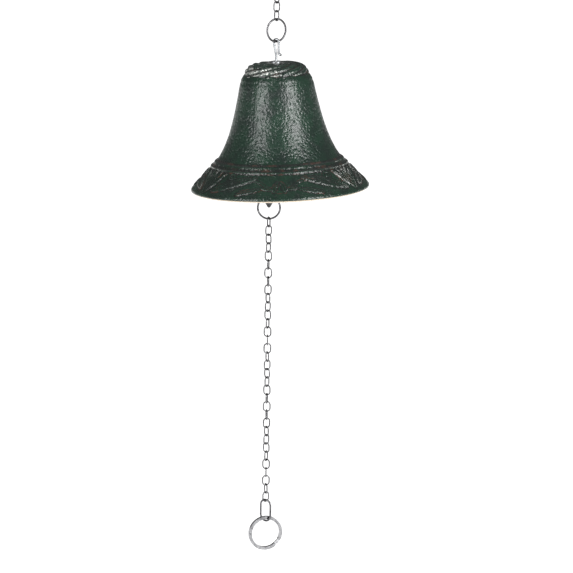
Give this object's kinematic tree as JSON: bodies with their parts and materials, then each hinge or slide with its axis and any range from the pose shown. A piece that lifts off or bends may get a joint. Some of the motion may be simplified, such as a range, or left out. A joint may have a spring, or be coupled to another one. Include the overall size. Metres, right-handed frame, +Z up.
{
  "type": "wall bell",
  "caption": "Flared cast bell hung by short chain and wire hook from a wall bracket, rung by a long pull chain with a ring on its clapper.",
  "frame": {"origin": "middle of the back plate's rear face, on the wall", "axes": "+Z up; +Y into the wall, along the screws; +X to the right as one faces the wall"},
  "size_m": [0.1097, 0.1449, 0.4444],
  "materials": {
    "green_cast_iron": "dark green paint over rough cast iron, dry-brushed with silver on raised edges",
    "bare_cast_iron": "dark blackened cast iron",
    "dark_steel_wire": "dark nickelled steel wire",
    "zinc_wire": "bright zinc-plated steel",
    "nickel_ring": "polished nickel-plated steel"
  },
  "bodies": {
    "wall_bracket": {"wall_bracket": "green_cast_iron"},
    "bracket_ring": {"bracket_ring": "dark_steel_wire"},
    "upper_link_1": {"upper_link_1": "dark_steel_wire"},
    "upper_link_2": {"upper_link_2": "dark_steel_wire"},
    "upper_link_3": {"upper_link_3": "dark_steel_wire"},
    "upper_ring": {"upper_ring": "dark_steel_wire"},
    "bell": {"bell_hook": "zinc_wire", "top_washer": "zinc_wire", "bell": "green_cast_iron", "inner_washer": "zinc_wire"},
    "clapper_link": {"clapper_link": "zinc_wire"},
    "clapper": {"clapper": "bare_cast_iron"},
    "clapper_ring": {"clapper_ring": "dark_steel_wire"},
    "pull_link_01": {"pull_link_01": "dark_steel_wire"},
    "pull_link_02": {"pull_link_02": "dark_steel_wire"},
    "pull_link_03": {"pull_link_03": "dark_steel_wire"},
    "pull_link_04": {"pull_link_04": "dark_steel_wire"},
    "pull_link_05": {"pull_link_05": "dark_steel_wire"},
    "pull_link_06": {"pull_link_06": "dark_steel_wire"},
    "pull_link_07": {"pull_link_07": "dark_steel_wire"},
    "pull_link_08": {"pull_link_08": "dark_steel_wire"},
    "pull_link_09": {"pull_link_09": "dark_steel_wire"},
    "pull_link_10": {"pull_link_10": "dark_steel_wire"},
    "pull_link_11": {"pull_link_11": "dark_steel_wire"},
    "pull_link_12": {"pull_link_12": "dark_steel_wire"},
    "pull_link_13": {"pull_link_13": "dark_steel_wire"},
    "pull_link_14": {"pull_link_14": "dark_steel_wire"},
    "pull_link_15": {"pull_link_15": "dark_steel_wire"},
    "pull_link_16": {"pull_link_16": "dark_steel_wire"},
    "pull_link_17": {"pull_link_17": "dark_steel_wire"},
    "pull_link_18": {"pull_link_18": "dark_steel_wire"},
    "pull_link_19": {"pull_link_19": "dark_steel_wire"},
    "pull_link_20": {"pull_link_20": "dark_steel_wire"},
    "pull_link_21": {"pull_link_21": "dark_steel_wire"},
    "pull_link_22": {"pull_link_22": "dark_steel_wire"},
    "pull_link_23": {"pull_link_23": "dark_steel_wire"},
    "pull_link_24": {"pull_link_24": "dark_steel_wire"},
    "pull_link_25": {"pull_link_25": "dark_steel_wire"},
    "pull_link_26": {"pull_link_26": "dark_steel_wire"},
    "pull_link_27": {"pull_link_27": "dark_steel_wire"},
    "pull_link_28": {"pull_link_28": "dark_steel_wire"},
    "pull_link_29": {"pull_link_29": "dark_steel_wire"},
    "pull_link_30": {"pull_link_30": "dark_steel_wire"},
    "pull_link_31": {"pull_link_31": "dark_steel_wire"},
    "pull_link_32": {"pull_link_32": "dark_steel_wire"},
    "pull_link_33": {"pull_link_33": "dark_steel_wire"},
    "pull_link_34": {"pull_link_34": "dark_steel_wire"},
    "connector": {"connector": "dark_steel_wire"},
    "pull_ring": {"pull_ring": "nickel_ring"}
  },
  "joints": [
    {"name": "bracket_ring_swing", "type": "hinge", "parent": "wall_bracket", "child": "bracket_ring", "pos_m": [0, -0.09, -0.03743], "axis": [0, 1, 0], "range_deg": [-30, 30]},
    {"name": "upper_link_1_swing", "type": "hinge", "parent": "bracket_ring", "child": "upper_link_1", "pos_m": [0, -0.09, -0.04658], "axis": [0.809, 0.5878, 0], "range_deg": [-25, 12]},
    {"name": "upper_link_2_swing", "type": "hinge", "parent": "upper_link_1", "child": "upper_link_2", "pos_m": [0, -0.09, -0.05173], "axis": [0.5878, -0.809, 0], "range_deg": [-30, 30]},
    {"name": "upper_link_3_swing", "type": "hinge", "parent": "upper_link_2", "child": "upper_link_3", "pos_m": [0, -0.09, -0.05708], "axis": [-0.809, -0.5878, 0], "range_deg": [-12, 25]},
    {"name": "upper_ring_swing", "type": "hinge", "parent": "upper_link_3", "child": "upper_ring", "pos_m": [0, -0.09, -0.06243], "axis": [-0.5878, 0.809, 0], "range_deg": [-30, 30]},
    {"name": "bell_swing", "type": "hinge", "parent": "upper_ring", "child": "bell", "pos_m": [0, -0.09, -0.07518], "axis": [0.809, 0.5878, 0], "range_deg": [-25, 12]},
    {"name": "clapper_link_swing", "type": "hinge", "parent": "bell", "child": "clapper_link", "pos_m": [-0.0034, -0.09, -0.10126], "axis": [1, 0, 0], "range_deg": [-23, 23]},
    {"name": "clapper_swing", "type": "hinge", "parent": "clapper_link", "child": "clapper", "pos_m": [-0.0034, -0.09, -0.11361], "axis": [0, 1, 0], "range_deg": [-8, 8]},
    {"name": "clapper_ring_swing", "type": "hinge", "parent": "clapper", "child": "clapper_ring", "pos_m": [-0.0034, -0.09, -0.17133], "axis": [-1, 0, 0], "range_deg": [-45, 45]},
    {"name": "pull_link_01_swing", "type": "hinge", "parent": "clapper_ring", "child": "pull_link_01", "pos_m": [-0.0034, -0.09, -0.18495], "axis": [1, 0, 0], "range_deg": [-40, 40]},
    {"name": "pull_link_02_swing", "type": "hinge", "parent": "pull_link_01", "child": "pull_link_02", "pos_m": [-0.0034, -0.09, -0.1901], "axis": [-0.3827, 0.9239, 0], "range_deg": [-40, 40]},
    {"name": "pull_link_03_swing", "type": "hinge", "parent": "pull_link_02", "child": "pull_link_03", "pos_m": [-0.0034, -0.09, -0.19545], "axis": [-0.8315, -0.5556, 0], "range_deg": [-40, 40]},
    {"name": "pull_link_04_swing", "type": "hinge", "parent": "pull_link_03", "child": "pull_link_04", "pos_m": [-0.0034, -0.09, -0.2008], "axis": [0.7071, -0.7071, 0], "range_deg": [-40, 40]},
    {"name": "pull_link_05_swing", "type": "hinge", "parent": "pull_link_04", "child": "pull_link_05", "pos_m": [-0.0034, -0.09, -0.20615], "axis": [0.5556, 0.8315, 0], "range_deg": [-40, 40]},
    {"name": "pull_link_06_swing", "type": "hinge", "parent": "pull_link_05", "child": "pull_link_06", "pos_m": [-0.0034, -0.09, -0.2115], "axis": [-0.9239, 0.3827, 0], "range_deg": [-40, 40]},
    {"name": "pull_link_07_swing", "type": "hinge", "parent": "pull_link_06", "child": "pull_link_07", "pos_m": [-0.0034, -0.09, -0.21685], "axis": [-0.1951, -0.9808, 0], "range_deg": [-40, 40]},
    {"name": "pull_link_08_swing", "type": "hinge", "parent": "pull_link_07", "child": "pull_link_08", "pos_m": [-0.0034, -0.09, -0.2222], "axis": [1, 0, 0], "range_deg": [-40, 40]},
    {"name": "pull_link_09_swing", "type": "hinge", "parent": "pull_link_08", "child": "pull_link_09", "pos_m": [-0.0034, -0.09, -0.22755], "axis": [-0.1951, 0.9808, 0], "range_deg": [-40, 40]},
    {"name": "pull_link_10_swing", "type": "hinge", "parent": "pull_link_09", "child": "pull_link_10", "pos_m": [-0.0034, -0.09, -0.2329], "axis": [-0.9239, -0.3827, 0], "range_deg": [-40, 40]},
    {"name": "pull_link_11_swing", "type": "hinge", "parent": "pull_link_10", "child": "pull_link_11", "pos_m": [-0.0034, -0.09, -0.23825], "axis": [0.5556, -0.8315, 0], "range_deg": [-40, 40]},
    {"name": "pull_link_12_swing", "type": "hinge", "parent": "pull_link_11", "child": "pull_link_12", "pos_m": [-0.0034, -0.09, -0.2436], "axis": [0.7071, 0.7071, 0], "range_deg": [-40, 40]},
    {"name": "pull_link_13_swing", "type": "hinge", "parent": "pull_link_12", "child": "pull_link_13", "pos_m": [-0.0034, -0.09, -0.24895], "axis": [-0.8315, 0.5556, 0], "range_deg": [-40, 40]},
    {"name": "pull_link_14_swing", "type": "hinge", "parent": "pull_link_13", "child": "pull_link_14", "pos_m": [-0.0034, -0.09, -0.2543], "axis": [-0.3827, -0.9239, 0], "range_deg": [-40, 40]},
    {"name": "pull_link_15_swing", "type": "hinge", "parent": "pull_link_14", "child": "pull_link_15", "pos_m": [-0.0034, -0.09, -0.25965], "axis": [0.9808, -0.1951, 0], "range_deg": [-40, 40]},
    {"name": "pull_link_16_swing", "type": "hinge", "parent": "pull_link_15", "child": "pull_link_16", "pos_m": [-0.0034, -0.09, -0.265], "axis": [0, 1, 0], "range_deg": [-40, 40]},
    {"name": "pull_link_17_swing", "type": "hinge", "parent": "pull_link_16", "child": "pull_link_17", "pos_m": [-0.0034, -0.09, -0.27035], "axis": [-0.9808, -0.1951, 0], "range_deg": [-40, 40]},
    {"name": "pull_link_18_swing", "type": "hinge", "parent": "pull_link_17", "child": "pull_link_18", "pos_m": [-0.0034, -0.09, -0.2757], "axis": [0.3827, -0.9239, 0], "range_deg": [-40, 40]},
    {"name": "pull_link_19_swing", "type": "hinge", "parent": "pull_link_18", "child": "pull_link_19", "pos_m": [-0.0034, -0.09, -0.28105], "axis": [0.8315, 0.5556, 0], "range_deg": [-40, 40]},
    {"name": "pull_link_20_swing", "type": "hinge", "parent": "pull_link_19", "child": "pull_link_20", "pos_m": [-0.0034, -0.09, -0.2864], "axis": [-0.7071, 0.7071, 0], "range_deg": [-40, 40]},
    {"name": "pull_link_21_swing", "type": "hinge", "parent": "pull_link_20", "child": "pull_link_21", "pos_m": [-0.0034, -0.09, -0.29175], "axis": [-0.5556, -0.8315, 0], "range_deg": [-40, 40]},
    {"name": "pull_link_22_swing", "type": "hinge", "parent": "pull_link_21", "child": "pull_link_22", "pos_m": [-0.0034, -0.09, -0.2971], "axis": [0.9239, -0.3827, 0], "range_deg": [-40, 40]},
    {"name": "pull_link_23_swing", "type": "hinge", "parent": "pull_link_22", "child": "pull_link_23", "pos_m": [-0.0034, -0.09, -0.30245], "axis": [0.1951, 0.9808, 0], "range_deg": [-40, 40]},
    {"name": "pull_link_24_swing", "type": "hinge", "parent": "pull_link_23", "child": "pull_link_24", "pos_m": [-0.0034, -0.09, -0.3078], "axis": [-1, 0, 0], "range_deg": [-40, 40]},
    {"name": "pull_link_25_swing", "type": "hinge", "parent": "pull_link_24", "child": "pull_link_25", "pos_m": [-0.0034, -0.09, -0.31315], "axis": [0.1951, -0.9808, 0], "range_deg": [-40, 40]},
    {"name": "pull_link_26_swing", "type": "hinge", "parent": "pull_link_25", "child": "pull_link_26", "pos_m": [-0.0034, -0.09, -0.3185], "axis": [0.9239, 0.3827, 0], "range_deg": [-40, 40]},
    {"name": "pull_link_27_swing", "type": "hinge", "parent": "pull_link_26", "child": "pull_link_27", "pos_m": [-0.0034, -0.09, -0.32385], "axis": [-0.5556, 0.8315, 0], "range_deg": [-40, 40]},
    {"name": "pull_link_28_swing", "type": "hinge", "parent": "pull_link_27", "child": "pull_link_28", "pos_m": [-0.0034, -0.09, -0.3292], "axis": [-0.7071, -0.7071, 0], "range_deg": [-40, 40]},
    {"name": "pull_link_29_swing", "type": "hinge", "parent": "pull_link_28", "child": "pull_link_29", "pos_m": [-0.0034, -0.09, -0.33455], "axis": [0.8315, -0.5556, 0], "range_deg": [-40, 40]},
    {"name": "pull_link_30_swing", "type": "hinge", "parent": "pull_link_29", "child": "pull_link_30", "pos_m": [-0.0034, -0.09, -0.3399], "axis": [0.3827, 0.9239, 0], "range_deg": [-40, 40]},
    {"name": "pull_link_31_swing", "type": "hinge", "parent": "pull_link_30", "child": "pull_link_31", "pos_m": [-0.0034, -0.09, -0.34525], "axis": [-0.9808, 0.1951, 0], "range_deg": [-40, 40]},
    {"name": "pull_link_32_swing", "type": "hinge", "parent": "pull_link_31", "child": "pull_link_32", "pos_m": [-0.0034, -0.09, -0.3506], "axis": [0, -1, 0], "range_deg": [-40, 40]},
    {"name": "pull_link_33_swing", "type": "hinge", "parent": "pull_link_32", "child": "pull_link_33", "pos_m": [-0.0034, -0.09, -0.35595], "axis": [0.9808, 0.1951, 0], "range_deg": [-40, 40]},
    {"name": "pull_link_34_swing", "type": "hinge", "parent": "pull_link_33", "child": "pull_link_34", "pos_m": [-0.0034, -0.09, -0.3613], "axis": [-0.3827, 0.9239, 0], "range_deg": [-40, 40]},
    {"name": "connector_swing", "type": "hinge", "parent": "pull_link_34", "child": "connector", "pos_m": [-0.0034, -0.09, -0.36665], "axis": [-0.8315, -0.5556, 0], "range_deg": [-40, 40]},
    {"name": "pull_ring_swing", "type": "hinge", "parent": "connector", "child": "pull_ring", "pos_m": [-0.0034, -0.09, -0.3794], "axis": [0.829, -0.5592, 0], "range_deg": [-25, 25]}
  ]
}
